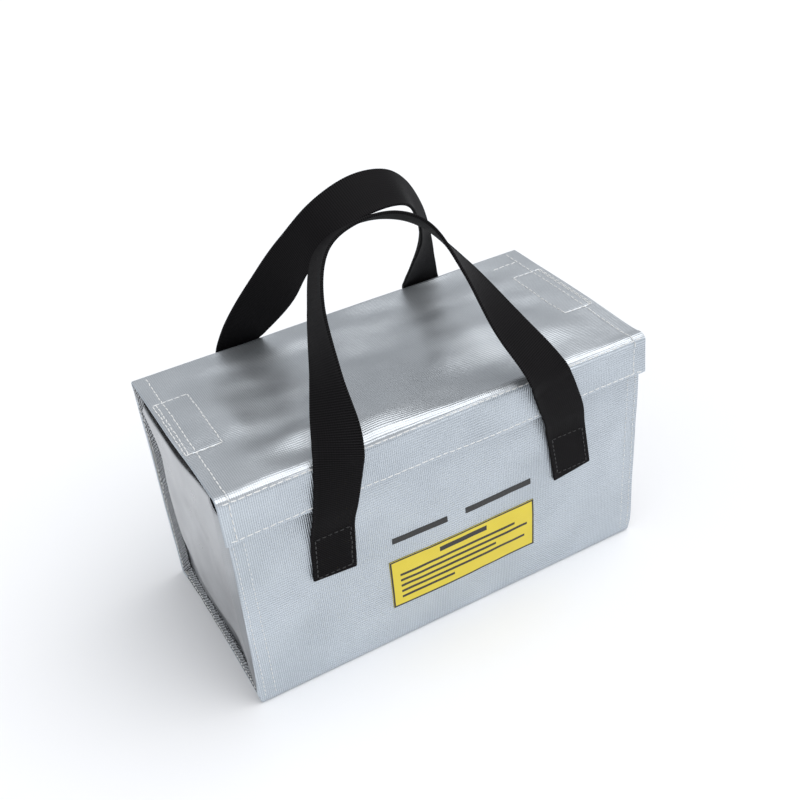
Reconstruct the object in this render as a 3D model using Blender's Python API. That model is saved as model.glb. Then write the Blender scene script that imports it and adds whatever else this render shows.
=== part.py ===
"""Battery safe bag: a box of coated glass-fibre cloth with a hinged lid, a front flap,
two fold-in end flaps and two webbing carrying handles.

Metres, +Z up. The origin is the middle of the face that the bag rests on, X runs along
the bag and the front is at -Y. Every fold line and strap bend is a hinge, and each
moving group hangs from an empty that lies on its hinge line.
"""

import math

import bmesh
import bpy
from mathutils import Matrix, Vector

MM = 0.001

# Driving dimensions: the closed bag without its handles
LENGTH = 260 * MM
DEPTH = 130 * MM
HEIGHT = 150 * MM

# Sheet and tape stock
CLOTH = 1.5 * MM
LID_CLOTH = 2.0 * MM
TAPE = 1.0 * MM
LABEL_FILM = 0.4 * MM
GAP = 0.3 * MM
CORNER = 2.0 * MM

# Lid, front flap and closure tape
LID_OVERHANG = 1.0 * MM
FLAP_OVERHANG = 2.0 * MM
FLAP_DROP = 27.5 * MM
CLOSURE_HALF_LENGTH = 122 * MM
CLOSURE_LOW = 124.5 * MM
CLOSURE_HIGH = 147 * MM

# Fold-in end flaps and their hook-and-loop patches
END_FLAP_LENGTH = 27 * MM
END_FLAP_ROOT = 55 * MM
END_FLAP_TIP = 36 * MM
PATCH_NEAR_EDGE = 1.5 * MM
PATCH_LENGTH = 20 * MM
PATCH_FRONT = -24 * MM
PATCH_REAR = 30 * MM

# Sewn seams at the bag's two ends
SEAM_INNER_WIDTH = 12 * MM
SEAM_OUTER_WIDTH = 8 * MM
SEAM_BOTTOM_WIDTH = 6.5 * MM
SEAM_CLOTH = 1.2 * MM

# Printed label on the front
LABEL_LEFT = -42 * MM
LABEL_RIGHT = 55 * MM
LABEL_LOW = 27 * MM
LABEL_HIGH = 62 * MM

# Webbing handles
WEB_WIDTH = 25 * MM
WEB = 1.8 * MM
PATCH_LOW = 73 * MM
PATCH_HIGH = 109 * MM
STRAP_X_LOW = 79.5 * MM
STRAP_X_HIGH = 74.5 * MM
LOWER_HINGE_HEIGHT = 107 * MM
LEG_HIGH = 156 * MM
LEG_X_LOW = 75 * MM
LEG_X_HIGH = 64 * MM
GRIP_HALF_LENGTH = 36 * MM
RISE_SECTIONS = 9

# Where each handle's strap stands off the bag, and where its grip ends up
HANDLES = {
    "front": {"side": -1, "leg_low": 70.4 * MM, "leg_high": 72.8 * MM, "grip_y": -12 * MM, "grip_z": 229 * MM},
    "rear": {"side": 1, "leg_low": 68.3 * MM, "leg_high": 69.5 * MM, "grip_y": 6 * MM, "grip_z": 241.5 * MM},
}

# Heights and faces that follow from the sizes above
FRONT_FACE = -DEPTH / 2
REAR_FACE = DEPTH / 2
LID_UNDERSIDE = HEIGHT - LID_CLOTH
PANEL_TOP = LID_UNDERSIDE - GAP
FOLD_HEIGHT = LID_UNDERSIDE - GAP / 2
LOOP_FACE = FRONT_FACE - GAP - TAPE
HOOK_FACE = LOOP_FACE - GAP - TAPE
FLAP_FACE = HOOK_FACE - GAP - CLOTH
LID_PATCH_LOW = LID_UNDERSIDE - GAP - TAPE
END_PATCH_LOW = LID_PATCH_LOW - GAP - TAPE
END_FLAP_LOW = END_PATCH_LOW - GAP - CLOTH
END_PANEL_TOP = END_FLAP_LOW - GAP
END_FOLD_HEIGHT = END_FLAP_LOW - GAP / 2


def clear_scene():
    for thing in list(bpy.data.objects):
        bpy.data.objects.remove(thing)


def make_material(name, colour, roughness, metallic):
    material = bpy.data.materials.new(name)
    material.use_nodes = True
    shader = material.node_tree.nodes["Principled BSDF"]
    shader.inputs["Base Color"].default_value = (*colour, 1)
    shader.inputs["Roughness"].default_value = roughness
    shader.inputs["Metallic"].default_value = metallic
    return material


def make_pivot(name, world, parent=None):
    """An empty on a hinge line. It keeps its place in the world for the pieces it carries."""
    pivot = bpy.data.objects.new(name, None)
    pivot.empty_display_size = 10 * MM
    pivot["world"] = world
    pivot.parent = parent
    pivot.location = Vector(world) - Vector(parent["world"] if parent else (0, 0, 0))
    bpy.context.collection.objects.link(pivot)
    return pivot


def add_piece(name, shape, material, pivot=None):
    """Turns a bmesh drawn in world coordinates into an object under its pivot."""
    if pivot:
        bmesh.ops.translate(shape, verts=shape.verts, vec=-Vector(pivot["world"]))
    bmesh.ops.recalc_face_normals(shape, faces=shape.faces)
    mesh = bpy.data.meshes.new(name)
    shape.to_mesh(mesh)
    shape.free()
    mesh.materials.append(material)
    piece = bpy.data.objects.new(name, mesh)
    piece.parent = pivot
    bpy.context.collection.objects.link(piece)
    return piece


def plate_shape(low, high, corner=CORNER):
    """A flat sheet between two corners, with the four edges along its thickness rounded."""
    low = Vector(low)
    size = Vector(high) - low
    thin = min(range(3), key=lambda axis: size[axis])
    shape = bmesh.new()
    placed = Matrix.Translation(low + size / 2) @ Matrix.Diagonal((*size, 1))
    bmesh.ops.create_cube(shape, size=1, matrix=placed)
    upright = [
        edge
        for edge in shape.edges
        if abs((edge.verts[0].co - edge.verts[1].co)[thin]) > size[thin] / 2
    ]
    bmesh.ops.bevel(shape, geom=upright, offset=corner, segments=3, profile=0.5, affect="EDGES")
    return shape


def ribbon_shape(sections):
    """A strap through sections, each (centre, half width vector, half thickness vector)."""
    shape = bmesh.new()
    rings = []
    for centre, across, through in sections:
        corners = (across + through, -across + through, -across - through, across - through)
        rings.append([shape.verts.new(centre + corner) for corner in corners])
    for ring, following in zip(rings, rings[1:]):
        for index in range(4):
            beside = (index + 1) % 4
            shape.faces.new((ring[index], ring[beside], following[beside], following[index]))
    shape.faces.new(rings[0])
    shape.faces.new(rings[-1])
    return shape


def tilted_sheet(name, x_low, x_high, y_low, y_high, z_low, z_high, thickness, material, pivot=None):
    """A straight length of webbing that faces the front or the rear and leans along the bag."""
    across = Vector((WEB_WIDTH / 2, 0, 0))
    through = Vector((0, thickness / 2, 0))
    ends = [Vector((x_low, y_low, z_low)), Vector((x_high, y_high, z_high))]
    return add_piece(name, ribbon_shape([(end, across, through) for end in ends]), material, pivot)


def build_shell(cloth):
    """The sewn box: front, rear, bottom and the two end panels."""
    half = LENGTH / 2
    inner = DEPTH / 2 - CLOTH - GAP
    for name, outside, inside in (
        ("front_panel", FRONT_FACE, FRONT_FACE + CLOTH),
        ("rear_panel", REAR_FACE, REAR_FACE - CLOTH),
    ):
        low = (-half, min(outside, inside), 0)
        high = (half, max(outside, inside), PANEL_TOP)
        add_piece(name, plate_shape(low, high), cloth)
    add_piece("bottom_panel", plate_shape((-half, -inner, 0), (half, inner, CLOTH)), cloth)
    for side, name in ((-1, "left"), (1, "right")):
        span = sorted((side * half, side * (half - CLOTH)))
        low = (span[0], -inner, CLOTH + GAP)
        high = (span[1], inner, END_PANEL_TOP)
        add_piece(f"{name}_end_panel", plate_shape(low, high), cloth)


def build_seams(cloth):
    """Turned and stitched edges that join each end panel to the front, rear and bottom."""
    half = LENGTH / 2
    inner = DEPTH / 2 - CLOTH - GAP
    bottom_rear = REAR_FACE - SEAM_OUTER_WIDTH - GAP
    for side, name in ((-1, "left"), (1, "right")):
        inside = sorted((side * (half - CLOTH - GAP), side * (half - CLOTH - GAP - SEAM_INNER_WIDTH)))
        low = (inside[0], -inner, CLOTH + GAP)
        high = (inside[1], -inner + SEAM_CLOTH, END_PANEL_TOP)
        add_piece(f"{name}_front_seam", plate_shape(low, high), cloth)
        outside = sorted((side * (half + GAP), side * (half + GAP + SEAM_CLOTH)))
        low = (outside[0], REAR_FACE - SEAM_OUTER_WIDTH, GAP)
        high = (outside[1], REAR_FACE, PANEL_TOP)
        add_piece(f"{name}_rear_seam", plate_shape(low, high), cloth)
        low = (outside[0], FRONT_FACE, GAP)
        high = (outside[1], bottom_rear, SEAM_BOTTOM_WIDTH)
        add_piece(f"{name}_bottom_seam", plate_shape(low, high), cloth)


def build_front_fittings(loop_tape, label_film):
    """The loop tape that the flap closes on, and the printed label."""
    low = (-CLOSURE_HALF_LENGTH, LOOP_FACE, CLOSURE_LOW)
    high = (CLOSURE_HALF_LENGTH, LOOP_FACE + TAPE, CLOSURE_HIGH)
    add_piece("front_closure_loop_tape", plate_shape(low, high), loop_tape)
    label_face = FRONT_FACE - GAP
    low = (LABEL_LEFT, label_face - LABEL_FILM, LABEL_LOW)
    high = (LABEL_RIGHT, label_face, LABEL_HIGH)
    add_piece("front_label", plate_shape(low, high), label_film)


def build_lid(cloth, hook_tape):
    """The lid, its two hook patches, and the front flap with its hook tape."""
    lid_pivot = make_pivot("lid_pivot", (0, REAR_FACE, FOLD_HEIGHT))
    half = LENGTH / 2 + LID_OVERHANG
    low = (-half, FLAP_FACE, LID_UNDERSIDE)
    high = (half, REAR_FACE, HEIGHT)
    add_piece("lid_panel", plate_shape(low, high), cloth, lid_pivot)
    for side, name in ((-1, "left"), (1, "right")):
        low, high = patch_corners(side, LID_PATCH_LOW)
        add_piece(f"{name}_lid_hook_patch", plate_shape(low, high, TAPE), hook_tape, lid_pivot)

    flap_pivot = make_pivot("front_flap_pivot", (0, FLAP_FACE, FOLD_HEIGHT), lid_pivot)
    half = LENGTH / 2 + FLAP_OVERHANG
    low = (-half, FLAP_FACE, HEIGHT - FLAP_DROP)
    high = (half, FLAP_FACE + CLOTH, PANEL_TOP)
    add_piece("front_flap_panel", plate_shape(low, high), cloth, flap_pivot)
    low = (-CLOSURE_HALF_LENGTH, HOOK_FACE, CLOSURE_LOW)
    high = (CLOSURE_HALF_LENGTH, HOOK_FACE + TAPE, CLOSURE_HIGH)
    add_piece("front_flap_hook_tape", plate_shape(low, high), hook_tape, flap_pivot)


def patch_corners(side, bottom):
    """Low and high corners of a hook or loop patch at one end of the bag."""
    near = LENGTH / 2 - PATCH_NEAR_EDGE
    span = sorted((side * near, side * (near - PATCH_LENGTH)))
    return (span[0], PATCH_FRONT, bottom), (span[1], PATCH_REAR, bottom + TAPE)


def build_end_flaps(cloth, loop_tape):
    """The flaps that fold in over the contents from the top of each end panel."""
    for side, name in ((-1, "left"), (1, "right")):
        fold = side * LENGTH / 2
        tip = side * (LENGTH / 2 - END_FLAP_LENGTH)
        pivot = make_pivot(f"{name}_end_flap_pivot", (fold, 0, END_FOLD_HEIGHT))
        shape = bmesh.new()
        outline = (
            (fold, -END_FLAP_ROOT),
            (fold, END_FLAP_ROOT),
            (tip, END_FLAP_TIP),
            (tip, -END_FLAP_TIP),
        )
        face = shape.faces.new([shape.verts.new((x, y, END_FLAP_LOW)) for x, y in outline])
        raised = bmesh.ops.extrude_face_region(shape, geom=[face])["geom"]
        top = [item for item in raised if isinstance(item, bmesh.types.BMVert)]
        bmesh.ops.translate(shape, verts=top, vec=(0, 0, CLOTH))
        add_piece(f"{name}_end_flap", shape, cloth, pivot)
        low, high = patch_corners(side, END_PATCH_LOW)
        add_piece(f"{name}_end_flap_loop_patch", plate_shape(low, high, TAPE), loop_tape, pivot)


def twisted_rise(side, name, handle, material, pivot):
    """One side of a handle's arch. As the webbing climbs, its outer edge turns a quarter to the
    rear, slowly at first, so that it stays clear of the lid's edge as the lid opens."""
    bottom = Vector((side * LEG_X_HIGH, handle["side"] * handle["leg_high"], LEG_HIGH + GAP))
    top = Vector((side * (GRIP_HALF_LENGTH - WEB / 2), handle["grip_y"], handle["grip_z"] - GAP))
    sections = []
    for step in range(RISE_SECTIONS):
        share = step / (RISE_SECTIONS - 1)
        turn = math.pi / 2 * share**1.5
        across = Vector((side * math.cos(turn), math.sin(turn), 0))
        through = side * Vector((across.y, -across.x, 0))
        sections.append((bottom.lerp(top, share), across * WEB_WIDTH / 2, through * WEB / 2))
    add_piece(name, ribbon_shape(sections), material, pivot)


def build_handle(end, handle, webbing):
    """A sewn-on webbing handle: two fixed patches, two legs and an arch with its grip."""
    outward = handle["side"]
    patch_y = outward * (DEPTH / 2 + GAP + WEB / 2)
    lower = make_pivot(f"{end}_handle_lower_pivot", (0, outward * handle["leg_low"], LOWER_HINGE_HEIGHT))
    bend_y = outward * (handle["leg_high"] + WEB / 2)
    upper = make_pivot(f"{end}_handle_upper_pivot", (0, bend_y, LEG_HIGH + GAP / 2), lower)
    for side, name in ((-1, "left"), (1, "right")):
        tilted_sheet(
            f"{end}_{name}_handle_patch", side * STRAP_X_LOW, side * STRAP_X_HIGH,
            patch_y, patch_y, PATCH_LOW, PATCH_HIGH, WEB, webbing,
        )
        tilted_sheet(
            f"{end}_{name}_handle_leg", side * LEG_X_LOW, side * LEG_X_HIGH,
            outward * handle["leg_low"], outward * handle["leg_high"],
            LOWER_HINGE_HEIGHT, LEG_HIGH, WEB, webbing, lower,
        )
        twisted_rise(side, f"{end}_{name}_handle_rise", handle, webbing, upper)
    low = (-GRIP_HALF_LENGTH, handle["grip_y"] - WEB_WIDTH / 2, handle["grip_z"])
    high = (GRIP_HALF_LENGTH, handle["grip_y"] + WEB_WIDTH / 2, handle["grip_z"] + WEB)
    add_piece(f"{end}_handle_grip", plate_shape(low, high), webbing, upper)


def main():
    clear_scene()
    cloth = make_material("silver_cloth", (0.58, 0.62, 0.66), 0.42, 0.55)
    lid_cloth = make_material("silver_lid_cloth", (0.52, 0.55, 0.58), 0.38, 0.6)
    seam_cloth = make_material("silver_seam_edge", (0.42, 0.44, 0.47), 0.5, 0.4)
    hook_tape = make_material("hook_tape", (0.05, 0.05, 0.055), 0.85, 0)
    loop_tape = make_material("loop_tape", (0.09, 0.09, 0.095), 0.95, 0)
    label_film = make_material("label_film", (0.78, 0.63, 0.05), 0.5, 0)
    webbing = make_material("black_webbing", (0.018, 0.018, 0.02), 0.75, 0)
    build_shell(cloth)
    build_seams(seam_cloth)
    build_front_fittings(loop_tape, label_film)
    build_lid(lid_cloth, hook_tape)
    build_end_flaps(cloth, loop_tape)
    for end, handle in HANDLES.items():
        build_handle(end, handle, webbing)


main()
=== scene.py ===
"""Looks of the battery safe bag: silver-coated woven cloth, webbing handles, tapes, label and stitching."""

import math

import bpy
import numpy as np
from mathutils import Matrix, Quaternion, Vector


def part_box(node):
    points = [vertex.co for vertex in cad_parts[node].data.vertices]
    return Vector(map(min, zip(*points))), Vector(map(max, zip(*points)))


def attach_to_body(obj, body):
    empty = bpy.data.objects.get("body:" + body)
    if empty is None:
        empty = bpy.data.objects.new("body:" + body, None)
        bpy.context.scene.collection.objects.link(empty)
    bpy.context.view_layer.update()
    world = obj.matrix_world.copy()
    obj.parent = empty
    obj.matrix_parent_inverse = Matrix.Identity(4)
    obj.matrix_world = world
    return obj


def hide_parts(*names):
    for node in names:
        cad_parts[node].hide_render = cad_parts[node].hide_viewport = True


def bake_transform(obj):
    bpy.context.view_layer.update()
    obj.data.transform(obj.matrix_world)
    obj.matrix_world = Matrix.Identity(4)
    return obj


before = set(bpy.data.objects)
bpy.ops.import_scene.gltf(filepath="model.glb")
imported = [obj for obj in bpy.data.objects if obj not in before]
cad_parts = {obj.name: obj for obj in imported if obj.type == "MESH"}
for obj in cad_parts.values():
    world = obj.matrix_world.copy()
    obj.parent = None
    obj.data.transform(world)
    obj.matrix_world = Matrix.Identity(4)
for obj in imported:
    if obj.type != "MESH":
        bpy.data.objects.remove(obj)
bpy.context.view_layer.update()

MM = 0.001

# Faces and edges of the bag, from the frame
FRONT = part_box("front_panel")[0].y
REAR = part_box("rear_panel")[1].y
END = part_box("front_panel")[1].x
FRONT_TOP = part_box("front_panel")[1].z
LID_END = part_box("lid_panel")[1].x
LID_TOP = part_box("lid_panel")[1].z
FLAP_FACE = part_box("front_flap_panel")[0].y
FLAP_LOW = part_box("front_flap_panel")[0].z
END_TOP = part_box("left_end_panel")[1].z

# Cloth, tape and webbing stock
CLOTH = 1.3 * MM
TAPE = 0.8 * MM
WEB = 1.7 * MM
WEB_WIDTH = 25 * MM
RIB_PITCH = 1.25 * MM

# Fold radii of the long sheet: front bottom, rear bottom, rear top, lid front
BOTTOM_RADIUS = 2.5 * MM
REAR_RADIUS = 4 * MM
LID_RADIUS = 7 * MM

# Where the long sheet is cut into pieces
REAR_CUT = 95 * MM
LID_CUT = 46 * MM

LEFT, RIGHT = -1, 1
SIDES = ((LEFT, "left"), (RIGHT, "right"))


# ------------ small maths

def smooth(value, low, high):
    """0 below low, 1 above high, with an even curve between them."""
    share = np.clip((value - low) / (high - low), 0, 1)
    return share * share * (3 - 2 * share)


def hump(value, centre, width):
    return np.exp(-(((value - centre) / width) ** 2))


def ripples(u, v, seed, *waves):
    """Uneven soft waves: for each (wavelength, height), a few sines in seeded directions."""
    random = np.random.default_rng(seed)
    total = np.zeros(np.broadcast(u, v).shape)
    for wavelength, height in waves:
        for _ in range(4):
            turn, phase = random.uniform(0, 2 * math.pi, 2)
            stretch = random.uniform(0.75, 1.3)
            travel = (u * math.cos(turn) + v * math.sin(turn)) / (wavelength * stretch)
            total = total + height / 2 * np.sin(2 * math.pi * travel + phase)
    return total


def spread(low, high, spacing, *lines):
    """Grid lines from low to high, with extra ones close about each seam line."""
    count = max(2, round((high - low) / spacing) + 1)
    extra = [line + shift for line in lines for shift in (-1.2 * MM, -0.5 * MM, 0, 0.5 * MM, 1.2 * MM)]
    inside = [value for value in extra if low < value < high]
    values = np.unique(np.round(np.concatenate([np.linspace(low, high, count), inside]), 6))
    keep = np.concatenate([[True], np.diff(values) > 0.25 * MM])
    keep[-1] = True
    return values[keep]


def curve_through(points, steps):
    """Evenly spaced points on a smooth curve through control points, and each one's share of the way."""
    points = np.array(points, float)
    padded = np.concatenate([[2 * points[0] - points[1]], points, [2 * points[-1] - points[-2]]])
    dense = []
    for index in range(len(points) - 1):
        a, b, c, d = padded[index : index + 4]
        t = np.linspace(0, 1, 40, endpoint=False)[:, None]
        bend, twist = 2 * a - 5 * b + 4 * c - d, 3 * b - a - 3 * c + d
        dense.append(0.5 * (2 * b + (c - a) * t + bend * t**2 + twist * t**3))
    dense = np.concatenate([*dense, points[-1:]])
    place = np.concatenate([[0], np.cumsum(np.linalg.norm(np.diff(dense[:, :3], axis=0), axis=1))])
    even = np.linspace(0, place[-1], steps)
    return np.stack([np.interp(even, place, column) for column in dense.T], axis=1), even


def unit(vectors):
    return vectors / np.linalg.norm(vectors, axis=-1, keepdims=True)


def stacked(*coordinates):
    """One array of points, or of cloth coordinates, from arrays of each coordinate."""
    return np.stack(np.broadcast_arrays(*coordinates), axis=-1)


# ------------ meshes

def grid_normals(points):
    return unit(np.cross(np.gradient(points, axis=0), np.gradient(points, axis=1)))


def add_object(name, data):
    added = bpy.data.objects.new(name, data)
    bpy.context.scene.collection.objects.link(added)
    return added


def make_object(name, vertices, faces, normals, uvs, materials, face_materials=None):
    mesh = bpy.data.meshes.new(name)
    mesh.from_pydata(vertices.tolist(), [], faces.tolist())
    for material in materials:
        mesh.materials.append(material)
    if face_materials is not None:
        mesh.polygons.foreach_set("material_index", face_materials.astype(np.int32))
    mesh.polygons.foreach_set("use_smooth", np.ones(len(faces), bool))
    layer = mesh.uv_layers.new(name="cloth")
    corners = np.empty(len(mesh.loops), np.int32)
    mesh.loops.foreach_get("vertex_index", corners)
    layer.data.foreach_set("uv", uvs[corners].astype(np.float32).ravel())
    mesh.normals_split_custom_set_from_vertices(normals.tolist())
    return add_object(name, mesh)


def sheet(name, points, uv, thickness, materials, region=None, normal=None):
    """A closed sheet whose outer face is a grid of points. Its inner face lies a thickness behind, and its
    rim is rounded. The inner face takes the last material, and region gives each outer face its own."""
    if normal is None:
        normal = grid_normals(points)
    rows, columns = points.shape[:2]
    index = np.arange(rows * columns).reshape(rows, columns)
    outer = np.stack([index[:-1, :-1], index[1:, :-1], index[1:, 1:], index[:-1, 1:]], axis=2).reshape(-1, 4)
    behind = rows * columns
    inner = outer[:, ::-1] + behind
    ring = np.concatenate([index[:, 0], index[-1, 1:], index[-2::-1, -1], index[0, -2:0:-1]])
    inward = np.concatenate([index[:, 1], index[-2, 1:], index[-2::-1, -2], index[1, -2:0:-1]])
    flat = points.reshape(-1, 3)
    flat_normal = normal.reshape(-1, 3)
    back = flat - flat_normal * thickness
    away = unit(flat[ring] - flat[inward])
    rim = (flat[ring] + back[ring]) / 2 + away * thickness / 2
    following = np.roll(ring, -1)
    middle = np.arange(len(ring)) + 2 * behind
    next_middle = np.roll(middle, -1)
    upper = np.stack([following, ring, middle, next_middle], axis=1)
    lower = np.stack([next_middle, middle, ring + behind, following + behind], axis=1)
    vertices = np.concatenate([flat, back, rim])
    normals = np.concatenate([flat_normal, -flat_normal, away])
    grid_uv = uv.reshape(-1, 2)
    uvs = np.concatenate([grid_uv, grid_uv, grid_uv[ring]])
    faces = np.concatenate([outer, inner, upper, lower])
    kinds = np.zeros(len(faces), int)
    if region is not None:
        kinds[: len(outer)] = region.ravel()
    kinds[len(outer) : 2 * len(outer)] = len(materials) - 1
    return make_object(name, vertices, faces, normals, uvs, materials, kinds)


def on_surface(surface, u, v):
    """Points of a surface with their outward normals."""
    step = 0.2 * MM
    along = surface(u + step, v) - surface(u - step, v)
    beside = surface(u, v + step) - surface(u, v - step)
    return surface(u, v), unit(np.cross(beside, along))


def stitch_row(surface, start, end, pitch=4.2 * MM):
    """Centres, directions and normals of the stitches along a line in a surface's own coordinates."""
    start, end = np.array(start, float), np.array(end, float)
    count = max(1, round(np.linalg.norm(end - start) / pitch))
    share = (np.arange(count) + 0.5) / count
    u, v = (start[:, None] + (end - start)[:, None] * share)
    centre, normal = on_surface(surface, u, v)
    step = (end - start) / np.linalg.norm(end - start) * 0.5 * MM
    direction = unit(surface(u + step[0], v + step[1]) - surface(u - step[0], v - step[1]))
    return centre, direction, normal


def stitch_box(surface, low, high, pitch=4.2 * MM):
    """The four rows of stitches round a rectangle."""
    (u0, v0), (u1, v1) = low, high
    corners = ((u0, v0), (u1, v0), (u1, v1), (u0, v1), (u0, v0))
    return [stitch_row(surface, a, b, pitch) for a, b in zip(corners, corners[1:])]


def stitches(name, rows, material, length=3.6 * MM, width=0.7 * MM, height=0.55 * MM, seed=1):
    """One mesh of thread: each stitch is a short rounded strand whose two ends dive into the cloth."""
    centre, direction, normal = (np.concatenate(parts) for parts in zip(*rows))
    random = np.random.default_rng(seed)
    count = len(centre)
    beside = np.cross(normal, direction)
    slant = random.normal(0, 0.07, count)[:, None]
    direction = unit(direction + beside * slant)
    beside = np.cross(normal, direction)
    centre = centre + beside * random.normal(0, 0.1 * MM, count)[:, None]
    size = random.uniform(0.88, 1.08, count)[:, None, None]
    rings, sides = np.array([-1, -0.8, -0.35, 0.35, 0.8, 1]), 6
    thick = np.array([0.35, 0.8, 1, 1, 0.8, 0.35])
    lift = np.array([-0.55, 0, 0.3, 0.3, 0, -0.55])
    angle = np.arange(sides) * 2 * math.pi / sides
    along = np.repeat(rings, sides) * length / 2
    across = np.outer(thick, np.cos(angle)).ravel() * width / 2
    above = (np.outer(thick, np.sin(angle)) + lift[:, None]).ravel() * height / 2
    vertices = (
        centre[:, None]
        + direction[:, None] * along[:, None] * size
        + beside[:, None] * across[:, None]
        + normal[:, None] * above[:, None]
    ).reshape(-1, 3)
    turn = np.outer(thick, np.cos(angle)).ravel()
    rise = np.outer(thick, np.sin(angle)).ravel()
    normals = unit(beside[:, None] * turn[:, None] + normal[:, None] * rise[:, None]).reshape(-1, 3)
    index = np.arange(len(rings) * sides).reshape(len(rings), sides)
    beyond = np.roll(index, -1, axis=1)
    quads = np.stack([index[:-1], beyond[:-1], beyond[1:], index[1:]], axis=2).reshape(-1, 4)
    caps = [end[quad] for end in (index[0, ::-1], index[-1]) for quad in ([0, 1, 2, 3], [0, 3, 4, 5])]
    template = np.concatenate([quads, caps])
    faces = (template[None] + (np.arange(count) * index.size)[:, None, None]).reshape(-1, 4)
    uvs = np.tile(np.stack([along, across], axis=1), (count, 1))
    return make_object(name, vertices, faces, normals, uvs, [material])


def attach(piece, body, slot, *nodes):
    """The piece moves with one body and stands for the CAD nodes that are given. The slot is not used."""
    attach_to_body(piece, body)
    if nodes:
        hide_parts(*nodes)


# ------------ materials

class Nodes:
    """A material's node tree, with short calls for the few kinds of node used here."""

    def __init__(self, name, **constants):
        self.material = bpy.data.materials.new(name)
        self.material.use_nodes = True
        self.tree = self.material.node_tree
        self.shader = self.tree.nodes["Principled BSDF"]
        for socket, value in constants.items():
            self.shader.inputs[socket.replace("_", " ")].default_value = value

    def add(self, kind, inputs, output=0, **settings):
        node = self.tree.nodes.new("ShaderNode" + kind)
        for key, value in settings.items():
            setattr(node, key, value)
        for key, value in inputs.items():
            if isinstance(value, bpy.types.NodeSocket):
                self.tree.links.new(value, node.inputs[key])
            else:
                node.inputs[key].default_value = value
        return node.outputs[output]

    def math(self, operation, a, b=0.0, c=0.0):
        return self.add("Math", {0: a, 1: b, 2: c}, operation=operation)

    def times_plus(self, value, factor, addend):
        return self.math("MULTIPLY_ADD", value, factor, addend)

    def clamped(self, value, low, high):
        return self.math("MINIMUM", self.math("MAXIMUM", value, low), high)

    def cloth_uv(self):
        uv = self.add("UVMap", {}, uv_map="cloth")
        split = self.tree.nodes.new("ShaderNodeSeparateXYZ")
        self.tree.links.new(uv, split.inputs[0])
        return uv, split.outputs[0], split.outputs[1]

    def noise(self, uv, size, detail=2.0, roughness=0.5):
        """Noise from 0 to 1 with features of about the given size in metres."""
        inputs = {"Vector": uv, "Scale": 1 / size, "Detail": detail, "Roughness": roughness}
        return self.add("TexNoise", inputs)

    def wave(self, coordinate, pitch, shift=0.0):
        """A wave from -1 to 1 that repeats every pitch metres."""
        return self.math("SINE", self.times_plus(coordinate, 2 * math.pi / pitch, shift))

    def between(self, share, dark, light):
        mix = self.tree.nodes.new("ShaderNodeMix")
        mix.data_type = "RGBA"
        self.tree.links.new(share, mix.inputs[0])
        mix.inputs[6].default_value = (*dark, 1)
        mix.inputs[7].default_value = (*light, 1)
        return mix.outputs[2]

    def scaled(self, value, low, high):
        """A value from 0 to 1 stretched to run from low to high."""
        return self.times_plus(value, high - low, low)

    def bump(self, height, distance, strength=1.0, under=None):
        inputs = {"Height": height, "Distance": distance, "Strength": strength}
        if under is not None:
            inputs["Normal"] = under
        return self.add("Bump", inputs)

    def into(self, socket, value):
        self.tree.links.new(value, self.shader.inputs[socket])

    def colour(self, share, dark, light):
        self.into("Base Color", self.between(share, dark, light))


def coated_cloth(
    name, dark, light, rough, weave, relief, rib, pitch, metallic=0.75, crumple=0.35, painted_shade_span=None
):
    """Glass-fibre cloth under an aluminium coating. Its ribs run one way and its threads the other, and
    each shows more in some places. A high rib shows more of the ribs. The last argument gives the heights
    between which painted shade darkens the colour towards the bottom."""
    nodes = Nodes(name, Metallic=metallic, IOR=1.45)
    uv, u, v = nodes.cloth_uv()
    drift = nodes.math("MULTIPLY", nodes.noise(uv, 14 * MM, 1.0), 2.0)
    threads = nodes.wave(u, 1.15 * MM, drift)
    ribs = nodes.wave(v, pitch, drift)
    tilt = nodes.times_plus(u, 2.0, rib - 1.2)
    share = nodes.times_plus(nodes.noise(uv, 45 * MM, 1.0), 2.4, tilt)
    share = nodes.clamped(share, 0.15, 0.9)
    lines = nodes.times_plus(nodes.math("SUBTRACT", ribs, threads), share, threads)
    grit = nodes.noise(uv, 1.0 * MM, 2.0, 0.6)
    height = nodes.times_plus(grit, 1.1, lines)
    crease = nodes.noise(uv, 18 * MM, 3.0, 0.5)
    soft = nodes.bump(crease, 1.5 * MM, crumple)
    nodes.into("Normal", nodes.bump(height, 0.16 * MM, relief, soft))
    patchy = nodes.noise(uv, 50 * MM, 3.0)
    base = nodes.times_plus(patchy, 0.6, 0.2 - 0.17 * weave)
    shade = nodes.times_plus(height, 0.32 * weave, base)
    # painted shade: the colour darkens towards the bottom, between the two given heights
    if painted_shade_span is not None:
        low, high = painted_shade_span
        unshaded_share = nodes.times_plus(v, 1 / (high - low), -low / (high - low))
        unshaded_share = nodes.times_plus(patchy, 0.5, nodes.math("SUBTRACT", unshaded_share, 0.25))
        shade = nodes.math("MULTIPLY", shade, nodes.clamped(unshaded_share, 0.0, 1.0))
    nodes.colour(shade, dark, light)
    nodes.into("Roughness", nodes.scaled(crease, *rough))
    return nodes.material


def seam_cloth():
    """The bare rough weave of a turned edge: coarse silver strands with dark pits between them."""
    nodes = Nodes("seam_weave", Metallic=0.5)
    uv, u, v = nodes.cloth_uv()
    drift = nodes.math("MULTIPLY", nodes.noise(uv, 4 * MM), 5.0)
    pits = nodes.math("MULTIPLY", nodes.wave(u, 2.3 * MM, drift), nodes.wave(v, 2.1 * MM, drift))
    grit = nodes.noise(uv, 1.9 * MM, 3.0, 0.75)
    height = nodes.times_plus(pits, 0.5, grit)
    shade = nodes.clamped(nodes.times_plus(height, 2.6, -0.85), 0.0, 1.0)
    nodes.colour(shade, (0.025, 0.026, 0.03), (0.52, 0.54, 0.56))
    nodes.into("Roughness", nodes.scaled(grit, 0.4, 0.7))
    nodes.into("Normal", nodes.bump(height, 0.35 * MM, 0.9))
    return nodes.material


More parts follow.
